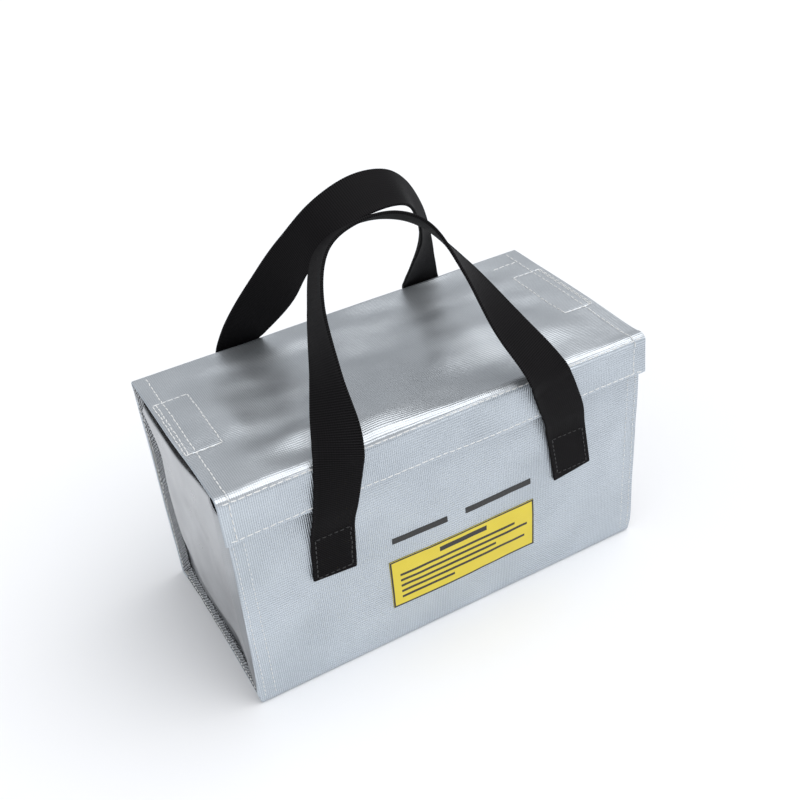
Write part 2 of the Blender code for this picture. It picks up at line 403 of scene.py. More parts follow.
def webbing():
    """Black woven strap: crosswise ribs over lengthwise yarns, with painted highlights that lighten the rib
    crests.
    """
    nodes = Nodes("black_webbing", Metallic=0.0, Specular_IOR_Level=0.1, IOR=1.4)
    uv, u, v = nodes.cloth_uv()
    yarns = nodes.wave(v, 1.25 * MM)
    picks = nodes.wave(u, RIB_PITCH, nodes.math("MULTIPLY", yarns, 0.5))
    fuzz = nodes.noise(uv, 0.9 * MM, 2.0, 0.6)
    height = nodes.times_plus(picks, 0.6, nodes.math("MULTIPLY", yarns, 0.15))
    height = nodes.times_plus(fuzz, 0.25, height)
    # painted highlight: the colour lightens on the raised rib crests
    crest_highlight = nodes.math("MAXIMUM", nodes.times_plus(height, 0.62, 0.42), 0.0)
    shade = nodes.math("POWER", crest_highlight, 2.0)
    nodes.colour(shade, (0.001, 0.001, 0.001), (0.022, 0.020, 0.022))
    nodes.into("Roughness", nodes.scaled(fuzz, 0.55, 0.75))
    nodes.into("Normal", nodes.bump(height, 0.15 * MM, 0.8))
    return nodes.material


def fastener(name, dark, light, size, depth):
    """Hook or loop pile: fine dark tufts."""
    nodes = Nodes(name, Metallic=0.0, Sheen_Weight=0.3)
    uv, _, _ = nodes.cloth_uv()
    tuft = nodes.add("TexVoronoi", {"Vector": uv, "Scale": 1 / size})
    fuzz = nodes.noise(uv, size / 2, 3.0, 0.7)
    height = nodes.math("SUBTRACT", fuzz, tuft)
    nodes.colour(fuzz, dark, light)
    nodes.into("Roughness", nodes.scaled(fuzz, 0.7, 0.95))
    nodes.into("Normal", nodes.bump(height, depth, 0.9))
    return nodes.material


def film(name, dark, light, rough):
    """Printed plastic film: nearly even colour with a faint mottle and a soft gloss."""
    nodes = Nodes(name, Metallic=0.0, IOR=1.5)
    uv, u, v = nodes.cloth_uv()
    mottle = nodes.noise(uv, 14 * MM, 4.0)
    relief = nodes.math("MULTIPLY", nodes.wave(u, 1.05 * MM), nodes.wave(v, 1.35 * MM))
    nodes.colour(mottle, dark, light)
    nodes.into("Roughness", nodes.scaled(mottle, *rough))
    nodes.into("Normal", nodes.bump(relief, 0.03 * MM, 0.5))
    return nodes.material


def thread(name, dark, light):
    """Twisted sewing thread."""
    nodes = Nodes(name, Metallic=0.0, Sheen_Weight=0.2)
    uv, u, v = nodes.cloth_uv()
    twist = nodes.wave(nodes.math("ADD", u, v), 0.6 * MM)
    share = nodes.times_plus(twist, 0.5, 0.5)
    nodes.colour(share, dark, light)
    nodes.into("Roughness", nodes.scaled(share, 0.5, 0.7))
    nodes.into("Normal", nodes.bump(twist, 0.05 * MM, 0.6))
    return nodes.material


SILVER = coated_cloth(
    "silver_cloth", (0.38, 0.42, 0.46), (0.71, 0.765, 0.82), (0.32, 0.50), 1.0, 0.8, 0.45, 1.6 * MM
)
# The lid top's copy of the silver: a finer, smoother weave, and a darker, greyer colour which is painted
# shade.
LID_SILVER_SMOOTH_PAINTED_SHADE = coated_cloth(
    "silver_lid_cloth", (0.38, 0.405, 0.43), (0.68, 0.71, 0.74), (0.28, 0.46), 0.9, 0.4, 0.75, 1.3 * MM
)
# The end cloth's colour darkens towards the bottom: painted shade.
END_SILVER = coated_cloth(
    "silver_end_cloth", (0.15, 0.155, 0.165), (0.66, 0.68, 0.70), (0.24, 0.34), 0.12, 0.06, 0.5, 1.3 * MM,
    crumple=0.08, painted_shade_span=(-12 * MM, 95 * MM),
)
LINING = coated_cloth(
    "glass_fibre_lining", (0.46, 0.46, 0.45), (0.66, 0.66, 0.64), (0.6, 0.8), 0.9, 0.8, 0.5, 1.3 * MM, 0.15
)
SEAM = seam_cloth()
WEBBING = webbing()
HOOK = fastener("hook_pile", (0.012, 0.012, 0.014), (0.06, 0.06, 0.065), 1.1 * MM, 0.5 * MM)
LOOP = fastener("loop_pile", (0.02, 0.02, 0.022), (0.11, 0.11, 0.115), 2.2 * MM, 0.7 * MM)
LABEL_YELLOW = film("label_yellow", (0.74, 0.58, 0.035), (0.84, 0.68, 0.06), (0.35, 0.5))
LABEL_BLACK = film("label_black", (0.012, 0.012, 0.012), (0.03, 0.03, 0.03), (0.35, 0.5))
WHITE_THREAD = thread("white_thread", (0.72, 0.72, 0.70), (0.94, 0.94, 0.93))
DARK_THREAD = thread("dark_thread", (0.003, 0.003, 0.003), (0.010, 0.010, 0.011))


# ------------ the long sheet

QUARTER = math.pi / 2
RADII = (BOTTOM_RADIUS, BOTTOM_RADIUS, REAR_RADIUS, LID_RADIUS)
RUNS = (
    FRONT_TOP - BOTTOM_RADIUS,
    REAR - FRONT - 2 * BOTTOM_RADIUS,
    LID_TOP - BOTTOM_RADIUS - REAR_RADIUS,
    REAR - FLAP_FACE - REAR_RADIUS - LID_RADIUS,
    LID_TOP - LID_RADIUS - FLAP_LOW,
)
STARTS = [0.0]
for run, radius in zip(RUNS, RADII):
    STARTS.append(STARTS[-1] + run + radius * QUARTER)
SHEET_END = STARTS[-1] + RUNS[-1]
LID_START, FLAP_START = STARTS[3], STARTS[4]
REAR_TURN = REAR_RADIUS * QUARTER
LID_TURN = LID_RADIUS * QUARTER


def wrap_line(s):
    """(y, z, outward y, outward z) along the sheet: down the front, under the bag, up the rear, over the lid
    and down the flap. Straight runs are joined by rounded quarter turns."""
    y = np.full(np.shape(s), FRONT)
    z = np.full(np.shape(s), FRONT_TOP)
    heading = np.full(np.shape(s), -QUARTER)
    for leg, run in enumerate(RUNS):
        a = QUARTER * (leg - 1)
        part = np.clip(s - STARTS[leg], 0 if leg else -1, run if leg < 4 else 1)
        y = y + part * math.cos(a)
        z = z + part * math.sin(a)
        if leg < len(RADII):
            turn = np.clip((s - STARTS[leg] - run) / RADII[leg], 0, QUARTER)
            y = y + RADII[leg] * (np.sin(a + turn) - math.sin(a))
            z = z + RADII[leg] * (math.cos(a) - np.cos(a + turn))
            heading = heading + turn
    return y, z, np.sin(heading), -np.cos(heading)


def front_s(z):
    return FRONT_TOP - z


def rear_s(z):
    return STARTS[2] + z - BOTTOM_RADIUS


def lid_s(y):
    return LID_START + REAR - REAR_RADIUS - y


def flap_s(z):
    return FLAP_START + LID_TOP - LID_RADIUS - z


# Seam lines across the sheet's width and along it
HEM_X = 123 * MM
BOX_IN, BOX_OUT = 108.5 * MM, 128.5 * MM
BOX_FRONT, BOX_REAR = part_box("left_lid_hook_patch")[0].y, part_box("left_lid_hook_patch")[1].y
FLAP_TOP_ROW = FLAP_START - 4 * MM
FLAP_HEM_ROW = flap_s(FLAP_LOW + 1.6 * MM)
# Front rows, each (x at the flap, x at the bottom)
FRONT_ROWS = ((-124.7, -125.9), (-119.1, -119.7), (123.8, 121.9), (129.4, 127.4))
# How far the front's left edge stops short of the corner, at lengths down the front
FRONT_SHORT = ((0, 30, 54, 91, 124, 142), (3.7, 3.4, 3.1, 2.4, 1.3, 0))


def belly(x, z, depth):
    """A side's even bulge, deepest in its middle."""
    across = np.cos(math.pi * np.clip(x / (2 * END), -0.5, 0.5))
    return depth * across * np.sin(math.pi * np.clip(z / LID_TOP, 0, 1))


def front_offset(x, s):
    """How far the front stands out from its flat plane between the seams."""
    z = FRONT_TOP - s
    bulge = belly(x, z, 1.4 * MM)
    loose = ripples(x, s, 11, (95 * MM, 0.55 * MM), (42 * MM, 0.22 * MM), (19 * MM, 0.07 * MM))
    free = smooth(s, 22 * MM, 50 * MM) * smooth(z, 0, 20 * MM)
    return (bulge + loose * (0.3 + 0.7 * hump(x, 0, 0.11))) * free


def rear_offset(x, s):
    z = s - STARTS[2] + BOTTOM_RADIUS
    bulge = belly(x, z, 1.6 * MM)
    loose = ripples(x, s, 12, (90 * MM, 0.7 * MM), (40 * MM, 0.3 * MM), (18 * MM, 0.08 * MM))
    return (bulge + loose) * smooth(z, 0, 20 * MM) * smooth(LID_TOP - z, 6 * MM, 30 * MM)


def lid_offset(x, s):
    """The lid's loose waves, and the dents where the straps lean on its edges."""
    y = REAR - REAR_RADIUS - (s - LID_START)
    loose = ripples(x, s, 25, (120 * MM, 1.7 * MM), (58 * MM, 1.1 * MM), (28 * MM, 0.4 * MM))
    fold = hump(y - 0.12 * x, -32 * MM, 7 * MM) - 0.9 * hump(y - 0.12 * x, -20 * MM, 8 * MM)
    loose = loose + 1.1 * MM * fold * hump(x, -72 * MM, 42 * MM)
    loose = loose * smooth(s, LID_START - 4 * MM, LID_START + 25 * MM) * smooth(FLAP_START - s, 0, 22 * MM)
    loose = loose * (0.08 + 0.92 * smooth(LID_END - np.abs(x), 8 * MM, 42 * MM))
    ends = smooth(np.abs(x), 90 * MM, LID_END)
    loose = loose + 1.3 * MM * hump(s, FLAP_START - LID_TURN / 2, 4 * MM) * ends
    sunk = smooth(x, 50 * MM, LID_END) * hump(s, FLAP_START - LID_TURN - 4 * MM, 26 * MM)
    loose = loose - 1.5 * MM * sunk * smooth(FLAP_START - s, LID_RADIUS * 0.3, LID_TURN)
    dents = 0
    for side, _ in SIDES:
        dents = dents - 1.6 * MM * hump(x, side * 66 * MM, 15 * MM) * hump(s, FLAP_START - 18 * MM, 9 * MM)
        dents = dents - 1.4 * MM * hump(x, side * 62 * MM, 16 * MM) * hump(y, 56 * MM, 10 * MM)
    return (loose + dents) * smooth(s, LID_START - REAR_TURN, LID_START + 3 * MM)


def flap_offset(x, s):
    """The flap hangs a little clear of the tape behind it, and its lower edge waves."""
    down = smooth(s, FLAP_START, SHEET_END)
    wave = ripples(x, s * 0, 31, (110 * MM, 0.45 * MM), (47 * MM, 0.25 * MM))
    roll = 0.45 * MM * smooth(s, FLAP_HEM_ROW - 5 * MM, FLAP_HEM_ROW + 0.6 * MM)
    return (0.35 * MM + 0.5 * wave + np.maximum(wave, -0.3 * MM) * 0.6) * down + roll


def pinch(distance, depth=0.2 * MM, width=0.8 * MM):
    """The groove that a row of stitches pulls into the cloth."""
    return -depth * hump(distance, 0, width)


def lid_pinches(x, s):
    y = REAR - REAR_RADIUS - (s - LID_START)
    on_lid = smooth(s, LID_START, LID_START + 3 * MM)
    total = pinch(np.abs(x) - HEM_X) * on_lid
    soft = 0.5 * MM
    across = smooth(np.abs(x), BOX_IN - soft, BOX_IN + soft) * smooth(BOX_OUT - np.abs(x), -soft, soft)
    along = smooth(y, BOX_FRONT - soft, BOX_FRONT + soft) * smooth(BOX_REAR - y, -soft, soft)
    total = total + (pinch(np.abs(x) - BOX_IN) + pinch(np.abs(x) - BOX_OUT)) * along
    total = total + (pinch(y - BOX_FRONT) + pinch(y - BOX_REAR)) * across
    total = total + 0.25 * MM * across * along
    total = total + pinch(s - FLAP_TOP_ROW) + pinch(s - FLAP_HEM_ROW)
    pucker = 0.09 * MM * np.sin(2 * math.pi * x / (8.4 * MM))
    return total + pucker * (hump(s, FLAP_TOP_ROW, 4 * MM) + hump(s, FLAP_HEM_ROW, 4 * MM))


def front_row_x(row, s):
    top, bottom = row
    return (top + (bottom - top) * s / RUNS[0]) * MM


def front_pinches(x, s):
    total = sum(pinch(x - front_row_x(row, s), 0.15 * MM) for row in FRONT_ROWS)
    pucker = 0.1 * MM * np.sin(2 * math.pi * s / (9 * MM)) * hump(np.abs(x), 123 * MM, 5 * MM)
    return (total + pucker) * smooth(s, 22 * MM, 26 * MM)


def wrap(x, s):
    """A point of the long sheet's outer face. x runs along the bag and s along the sheet. The flap is cut a
    little shorter at its right end."""
    s = s - np.maximum(s - FLAP_START, 0) * 0.09 * smooth(x, 40 * MM, LID_END)
    y, z, out_y, out_z = wrap_line(s)
    front = (s < STARTS[1]) * (front_offset(x, s) + front_pinches(x, s)) * smooth(z, 0, 4 * MM)
    rear = ((s >= STARTS[2]) & (s < LID_START)) * rear_offset(x, s)
    lid = (s >= LID_START - REAR_TURN) * (lid_offset(x, s) + lid_pinches(x, s))
    offset = front + rear + lid + (s >= FLAP_START) * flap_offset(x, s)
    return stacked(x, y + offset * out_y, z + offset * out_z)


def sheet_edges(s):
    """The sheet's left and right ends at length s. The lid overhangs, and the flap sits a little to the
    right. The front stops short of its left corner, where the end's cloth comes round."""
    on_lid = smooth(s, LID_START - 12 * MM, LID_START)
    on_flap = smooth(s, FLAP_START - 8 * MM, FLAP_START + 6 * MM)
    under = smooth(s, STARTS[1] - 12 * MM, STARTS[1]) * (1 - smooth(s, STARTS[2] - 30 * MM, STARTS[2]))
    half = END + (LID_END - END) * on_lid - 2.0 * MM * under
    forward = smooth(s, LID_START + 55 * MM, LID_START + 105 * MM)
    short = np.interp(s, np.array(FRONT_SHORT[0]) * MM, np.array(FRONT_SHORT[1]) * MM)
    left = -half + short + (0.7 + 1.1 * forward) * MM * on_lid
    wide = 1.2 * MM * (1 - smooth(s, 20 * MM, 125 * MM))
    right = half + 0.6 * MM * on_flap + wide + 0.15 * MM * ripples(s, 0 * s, 42, (60 * MM, 1.0)) * on_lid
    return left, right


def long_sheet_piece(name, s_low, s_high, x_lines, s_lines, spacing=2.2 * MM):
    """A stretch of the long sheet as its own piece. The lid's top takes a finer, smoother weave, and a
    darker, greyer colour that is painted shade.
    """
    s = spread(s_low, s_high, spacing, *s_lines)
    x = spread(-END, END, spacing, *x_lines)
    left, right = sheet_edges(s)
    middle = (left + right) / 2
    half = (right - left) / 2
    grid_x = middle[:, None] + x[None, :] / END * half[:, None]
    grid_s = np.broadcast_to(s[:, None], grid_x.shape)
    points, normal = on_surface(wrap, grid_x, grid_s)
    uv = stacked(grid_x, grid_s)
    middle_s = (s[1:] + s[:-1]) / 2
    on_top = (middle_s > LID_START - REAR_RADIUS * 0.8) & (middle_s < FLAP_TOP_ROW)
    region = np.broadcast_to(on_top[:, None], (len(s) - 1, len(x) - 1)).astype(int)
    return sheet(name, points, uv, CLOTH, [SILVER, LID_SILVER_SMOOTH_PAINTED_SHADE, LINING], region, normal)


def mirrored(*values):
    return [side * value for value in values for side in (LEFT, RIGHT)]


def build_long_sheet():
    """Front, bottom, rear, lid and flap are one strip of cloth, cut here into three pieces. The first moves
    with the bag.
    """
    folds = [STARTS[leg] - radius * QUARTER / 2 for leg, radius in zip((1, 2), RADII)]
    body = long_sheet_piece("body_cloth", 0, rear_s(REAR_CUT), mirrored(120 * MM, 126.5 * MM), folds)
    attach(body, "bag", "silver_cloth", "front_panel", "bottom_panel", "rear_panel")

    bend = [LID_START - REAR_TURN * share for share in (0.0, 0.35, 0.7, 1.0)]
    hinge = long_sheet_piece(
        "lid_hinge_cloth", rear_s(REAR_CUT), lid_s(LID_CUT), mirrored(HEM_X), bend
    )
    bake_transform(hinge)

    bend = [FLAP_START - LID_TURN * share for share in (0.0, 0.2, 0.4, 0.6, 0.8, 1.0)]
    seams = [lid_s(BOX_FRONT), lid_s(BOX_REAR), FLAP_TOP_ROW, FLAP_HEM_ROW]
    lid = long_sheet_piece(
        "lid_cloth", lid_s(LID_CUT), SHEET_END, mirrored(HEM_X, BOX_IN, BOX_OUT), bend + seams, 2.0 * MM
    )
    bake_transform(lid)
    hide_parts("lid_panel", "front_flap_panel")


# ------------ end panels

END_RADIUS = 1.6 * MM
END_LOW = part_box("left_end_panel")[0].z
END_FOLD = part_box("left_end_flap")[1].z
END_RUN = END_FOLD - END_LOW - END_RADIUS
END_FLAP_START = END_RUN + END_RADIUS * QUARTER
END_FLAP_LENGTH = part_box("left_end_flap")[1].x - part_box("left_end_flap")[0].x
END_SHEET_LENGTH = END_FLAP_START + END_FLAP_LENGTH - END_RADIUS
END_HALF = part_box("left_end_panel")[1].y
FLAP_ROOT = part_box("left_end_flap")[1].y
FLAP_TIP = 36 * MM


def end_surface(side):
    """The end panel, which turns in at its top to become the end flap. y runs across the end and on round
    the front corner. The panel draws in towards its rear and bottom seams."""

    def surface(y, s):
        height = np.clip(s, 0, END_RUN)
        turn = np.clip((s - END_RUN) / END_RADIUS, 0, QUARTER)
        inward = np.maximum(s - END_FLAP_START, 0)
        beyond = np.maximum(-y - CORNER_START, 0)
        corner = np.minimum(beyond / CORNER_RADIUS, QUARTER)
        round_x = CORNER_RADIUS * (1 - np.cos(corner)) + np.maximum(beyond - CORNER_RADIUS * QUARTER, 0)
        place_y = np.maximum(y, -CORNER_START) - CORNER_RADIUS * np.sin(corner)
        x = END - END_RADIUS * (1 - np.cos(turn)) - inward - round_x
        z = END_LOW + height + END_RADIUS * np.sin(turn)
        share = height / END_RUN
        bow = 1.3 * MM * np.sin(math.pi * share**1.1) * np.cos(QUARTER * np.clip(y / END_HALF, -1, 1))
        loose = ripples(y, s, 50 + side, (75 * MM, 0.9 * MM), (36 * MM, 0.3 * MM))
        panel = smooth(END_RUN - s, 0, 20 * MM) * smooth(s, 0, 15 * MM)
        panel = panel * smooth(END_HALF - np.abs(y), 0, 22 * MM)
        rear = smooth(y, 32 * MM, 60 * MM) * (1 - smooth(height, 112 * MM, 137 * MM))
        bottom = (1 - smooth(height, 5 * MM, 50 * MM)) * (0.35 + 0.65 * smooth(y, -60 * MM, -30 * MM))
        drawn = 4.9 * MM * (1 - (1 - rear) * (1 - 0.9 * bottom))
        out = bow + loose * panel - drawn - 0.5 * MM * smooth(height, 95 * MM, END_RUN)
        low = 11.0 * smooth(y, -62 * MM, 8 * MM) - 3 * smooth(y, 44 * MM, 62 * MM)
        dip = -low * MM * smooth(s, END_RUN - 70 * MM, END_RUN)
        sag = -0.4 * MM * smooth(inward, 2 * MM, 20 * MM)
        hollow = -0.4 * low * MM * (smooth(inward, 0, 5 * MM) - smooth(inward, 9 * MM, 21 * MM))
        x = x + out * np.cos(turn) * np.cos(corner)
        z = z + dip * (1 - smooth(inward, 7 * MM, 21 * MM)) + sag + hollow
        return stacked(side * x, place_y, z)

    return surface


CORNER_RADIUS = 4.5 * MM
CORNER_START = END_HALF - CORNER_RADIUS - 0.8 * MM
CORNER_REACH = CORNER_START + CORNER_RADIUS * QUARTER + 2.5 * MM


def end_width(s):
    """How far the end's cloth reaches to the rear and to the front. Its flap tapers, and the part that goes
    round the front corner ends below the flap's root."""
    root = smooth(s, END_RUN - 12 * MM, END_FLAP_START)
    out = np.clip((s - END_FLAP_START) / (END_SHEET_LENGTH - END_FLAP_START), 0, 1)
    taper = (FLAP_TIP - FLAP_ROOT) * out
    rear = END_HALF + (FLAP_ROOT - END_HALF) * root + taper
    ahead = (CORNER_REACH - END_HALF) * (1 - smooth(s, END_RUN - 24 * MM, END_RUN - 13 * MM))
    return rear, rear + ahead


def build_ends():
    for side, name in SIDES:
        s = spread(0, END_SHEET_LENGTH, 2.4 * MM, END_RUN + END_RADIUS)
        rear, front = end_width(s)
        share = np.concatenate([np.linspace(0, 0.88, 44, endpoint=False), np.linspace(0.88, 1, 18)])
        grid_y = rear[:, None] - share[None, :] * (rear + front)[:, None]
        if side == LEFT:
            grid_y = grid_y[:, ::-1]
        grid_s = np.broadcast_to(s[:, None], grid_y.shape)
        points = end_surface(side)(grid_y, grid_s)
        uv = stacked(grid_y, grid_s)
        panel = sheet(f"{name}_end_cloth", points, uv, CLOTH, [END_SILVER, LINING])
        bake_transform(panel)
        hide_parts(f"{name}_end_panel", f"{name}_end_flap")


# ------------ seams at the ends

# The seams' turned edges: the cloth's width, and each one's drawn-in line at places along it
STRIP_WIDTH = 7.5 * MM
REAR_LINE = np.array(
    ((0, 36, 62, 80, 108, 128, 147), (126.2, 126.0, 126.0, 125.3, 125.2, 127.0, 129.4))
) * MM
BOTTOM_LINE = np.array(((-65, -24, 0, 35, 60), (128.5, 128.3, 128.8, 129.0, 130.2))) * MM


def rear_strip(side):
    """The rear seam's turned edge flares out from the drawn-in panel. u runs from its inner line outward."""

    def surface(u, z):
        inner = np.interp(z, *REAR_LINE)
        outer = END + 0.4 * MM - 0.6 * MM * hump(z, 80 * MM, 35 * MM)
        wobble = ripples(z, u * 8 * MM, 60 + side, (13 * MM, 0.25 * MM), (6 * MM, 0.1 * MM))
        x = inner + (outer - inner) * u + 0.5 * MM * np.sin(math.pi * u) + 0.4 * wobble
        y = REAR - 5.5 * MM * (1 - u) - 0.2 * MM + 0.5 * wobble * (1 - u)
        return stacked(side * x, y, z)

    return surface


def bottom_strip(side):
    """The bottom seam's turned edge, flared in the same way. u runs from its lower line to its upper."""

    def surface(u, y):
        lower = np.interp(y, *BOTTOM_LINE)
        upper = 126.0 * MM + 0.4 * MM * smooth(-y, 30 * MM, 62 * MM)
        wobble = ripples(y, u * 8 * MM, 63 + side, (13 * MM, 0.25 * MM), (6 * MM, 0.1 * MM))
        x = lower + (upper - lower) * u + 0.5 * MM * np.sin(math.pi * u) + 0.4 * wobble
        z = 0.7 * MM + 6.6 * MM * u + 0.5 * wobble * u
        return stacked(side * x, y, z)

    return surface


def build_end_seams():
    share = np.linspace(0, 1, 9)
    for side, name in SIDES:
        for kind, surface in (("rear", rear_strip(side)), ("bottom", bottom_strip(side))):
            low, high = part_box(f"{name}_{kind}_seam")
            first, last = (low.z, high.z) if kind == "rear" else (low.y + 1.6 * MM, high.y)
            line = spread(first, last, 1.6 * MM)
            along, across = np.meshgrid(line, share, indexing="ij")
            points = surface(across, along)
            if np.cross(points[1, 4] - points[0, 4], points[0, 5] - points[0, 4])[0] * side < 0:
                points, along, across = points[:, ::-1], along[:, ::-1], across[:, ::-1]
            uv = stacked(along, across * STRIP_WIDTH)
            strip = sheet(f"{name}_{kind}_seam_strip", points, uv, 1.0 * MM, [SEAM, SEAM])
            attach(strip, "bag", "silver_seam_edge", f"{name}_{kind}_seam")


def build_front_corners():
    """The edge of the end's cloth, turned back inside each end of the front."""
    for side, name in SIDES:
        z = spread(2 * MM, END_TOP - 1 * MM, 2.0 * MM)
        profile = ((END - 13.5 * MM, 3.3 * MM), (END - 9 * MM, 3.2 * MM), (END - 5.2 * MM, 3.5 * MM))
        line, place = curve_through(profile, 8)
        grid_z, _ = np.meshgrid(z, place, indexing="ij")
        wobble = 0.15 * MM * ripples(grid_z, 0 * grid_z, 70 + side, (45 * MM, 1.0), (20 * MM, 0.4))
        x = side * (line[None, :, 0] + wobble)
        y = FRONT + line[None, :, 1] + 0 * grid_z
        points = stacked(x, y, grid_z)
        if side == RIGHT:
            points = points[::-1]
        uv = stacked(place[None, :], grid_z)
        piece = sheet(f"{name}_front_seam_fold", points, uv, 0.9 * MM, [SILVER, LINING])
        attach(piece, "bag", "silver_seam_edge", f"{name}_front_seam")


# ------------ straps

STRAP_CUT = 150 * MM

# Each handle from its left sewn end over the hand gap to its right one, in millimetres: the place of the
# webbing's middle, and then the direction of its width
ROUTES = {
    "front": (
        (-74.4, -66.4, 73, 1, 0, 0), (-73.3, -66.5, 88, 1, 0, 0), (-72.2, -67.0, 103, 1, 0, 0),
        (-70.2, -70.0, 117, 1, -0.02, 0), (-67.9, -71.4, 131, 0.99, -0.08, 0),
        (-66.1, -72.1, 143, 0.96, -0.2, 0), (-64.6, -72.0, 153, 0.9, -0.38, 0.05),
        (-62.4, -67.5, 165, 0.75, -0.58, 0.15), (-58.3, -54.0, 186, 0.35, -0.8, 0.45),
        (-49.5, -32.0, 212, 0, -0.86, 0.5), (-37.5, -17.5, 232, -0.02, -0.86, 0.5),
        (-18, -12.0, 240, 0, -0.87, 0.48), (6, -12.0, 239, -0.03, -0.88, 0.45),
        (25, -18.0, 228.5, -0.2, -0.88, 0.35), (38, -34.0, 206, -0.55, -0.78, 0.2),
        (48.8, -53.5, 179, -0.87, -0.48, 0), (56.8, -67.0, 162, -0.95, -0.26, -0.05),
        (61.5, -72.0, 151, -0.98, -0.12, 0), (65.5, -72.0, 141, -0.99, -0.03, 0),
        (69.6, -71.2, 130, -1, 0, 0), (74.2, -69.8, 117, -1, 0, 0), (77.6, -67.0, 103, -1, 0, 0),
        (80.0, -66.5, 88, -1, 0, 0), (82.2, -66.4, 72, -1, 0, 0),
    ),
    "rear": (
        (-74.2, 66.4, 73, 1, 0, 0), (-72.9, 66.6, 90, 1, 0, 0), (-71.4, 67.4, 108, 1, 0, 0),
        (-69.2, 68.2, 122, 1, 0, 0), (-66.6, 68.5, 136, 1, 0, 0), (-64.0, 67.6, 148, 0.99, -0.05, -0.05),
        (-60.8, 60.0, 159.5, 0.93, -0.2, -0.25), (-56.5, 48.3, 174, 0.82, -0.32, -0.45),
        (-48, 31.4, 196, 0.58, -0.58, -0.56), (-38.9, 16.5, 218.5, 0.2, -0.82, -0.53),
        (-24.5, 8, 237, 0, -0.85, -0.5), (-2, 6, 246, 0, -0.84, -0.54), (20, 9, 243.5, 0, -0.86, -0.5),
        (34, 16.7, 230, -0.2, -0.82, -0.53), (45, 28, 208, -0.45, -0.72, -0.5),
        (52.3, 45, 181, -0.8, -0.4, -0.42), (57.5, 58.5, 162, -0.93, -0.18, -0.25),
        (61.8, 67.4, 148.5, -0.99, -0.03, -0.05), (65.2, 68.5, 136, -1, 0, 0),
        (68.6, 68.2, 122, -1, 0, 0), (71.2, 67.4, 108, -1, 0, 0), (72.9, 66.6, 90, -1, 0, 0),
        (74.2, 66.4, 73, -1, 0, 0),
    ),
}


def ribbon_grid(route):
    """The webbing's face along a route, with its ribs: points, normals and cloth coordinates."""
    rough_length = np.linalg.norm(np.diff(np.array(route)[:, :3], axis=0), axis=1).sum() * MM
    line, place = curve_through(np.array(route, float), round(rough_length / (RIB_PITCH / 4)))
    centre, place = line[:, :3] * MM, place * MM
    along = unit(np.gradient(centre, axis=0))
    across = unit(line[:, 3:] - along * (line[:, 3:] * along).sum(1, keepdims=True))
    facing = np.cross(along, across)
    share = np.array([-1, -0.96, -0.88, -0.7, -0.45, -0.2, 0, 0.2, 0.45, 0.7, 0.88, 0.96, 1])
    ridge = np.cos(2 * math.pi * place / RIB_PITCH)[:, None]
    rise = WEB / 2 + 0.12 * MM * ridge * (1 - np.abs(share) ** 6) - 0.35 * MM * np.abs(share) ** 10
    half = WEB_WIDTH / 2 + 0.1 * MM * ridge[:, :, None]
    sideways = across[:, None] * share[None, :, None] * half
    points = centre[:, None] + sideways + facing[:, None] * rise[:, :, None]
    uv = stacked(place[:, None], share[None, :] * WEB_WIDTH / 2)
    return points, grid_normals(points), uv, centre


def build_straps():
    """Each handle is one strap, cut above the lid's edge into its two sewn ends and its arch."""
    for end, route in ROUTES.items():
        points, normal, uv, centre = ribbon_grid(route)
        above = np.nonzero(centre[:, 2] > STRAP_CUT)[0]
        first, last = above[0], above[-1]
        pieces = (
            (f"{end}_left_handle_strap", slice(None, first + 1)),
            (f"{end}_handle_arch_strap", slice(first, last + 1)),
            (f"{end}_right_handle_strap", slice(last, None)),
        )
        for name, rows in pieces:
            strap = sheet(name, points[rows], uv[rows], WEB, [WEBBING, WEBBING], normal=normal[rows])
            if "arch" in name:
                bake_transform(strap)
                replaced = ("left_handle_rise", "right_handle_rise", "handle_grip")
            else:
                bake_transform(strap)
                side = "left" if "left" in name else "right"
                replaced = (f"{side}_handle_patch", f"{side}_handle_leg")
            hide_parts(*(f"{end}_{part}" for part in replaced))


def build_strap_stitches():
    """A box of dark thread holds each strap's lower end to the bag."""
    rows = []
    for end, route in ROUTES.items():
        outward = -1 if end == "front" else 1
        line, _ = curve_through(np.array(route, float), 400)
        for half in (line[:120], line[:-120:-1]):
            up = half[np.argsort(half[:, 2])]

            def patch(u, v, up=up, outward=outward):
                x = np.interp(v, up[:, 2] * MM, up[:, 0] * MM) + u
                y = np.interp(v, up[:, 2] * MM, up[:, 1] * MM) + outward * (WEB / 2 + 0.12 * MM)
                return stacked(x, y, v)

            for centre, direction, normal in stitch_box(
                patch, (-10.4 * MM, 74.8 * MM), (10.4 * MM, 101 * MM), 3.4 * MM
            ):
                outside = np.sign((normal * centre).sum(1, keepdims=True))
                rows.append((centre, direction, normal * outside))
    thread_piece = stitches("handle_patch_stitches", rows, DARK_THREAD, 2.4 * MM)
    attach(thread_piece, "bag", "dark_thread")


# ------------ tapes and label

def front_plane(stand_off):
    """The front of the bag, moved out by a stand-off, in x and z."""

    def surface(x, z):
        point = wrap(x, front_s(z))
        return stacked(point[..., 0], point[..., 1] - stand_off, z)

    return surface


def rectangle(name, surface, u, v, thickness, materials, region=None, turned=False):
    grid_v, grid_u = np.meshgrid(v, u, indexing="ij")
    points = surface(grid_u, grid_v)
    uv = stacked(grid_u, grid_v)
    if turned:
        points, uv = points[:, ::-1], uv[:, ::-1]
    return sheet(name, points, uv, thickness, materials, region)


def pile(u, v, seed, height):
    """A slightly uneven tufted face."""
    return height * ripples(u, v, seed, (3.1 * MM, 0.5), (1.9 * MM, 0.4))


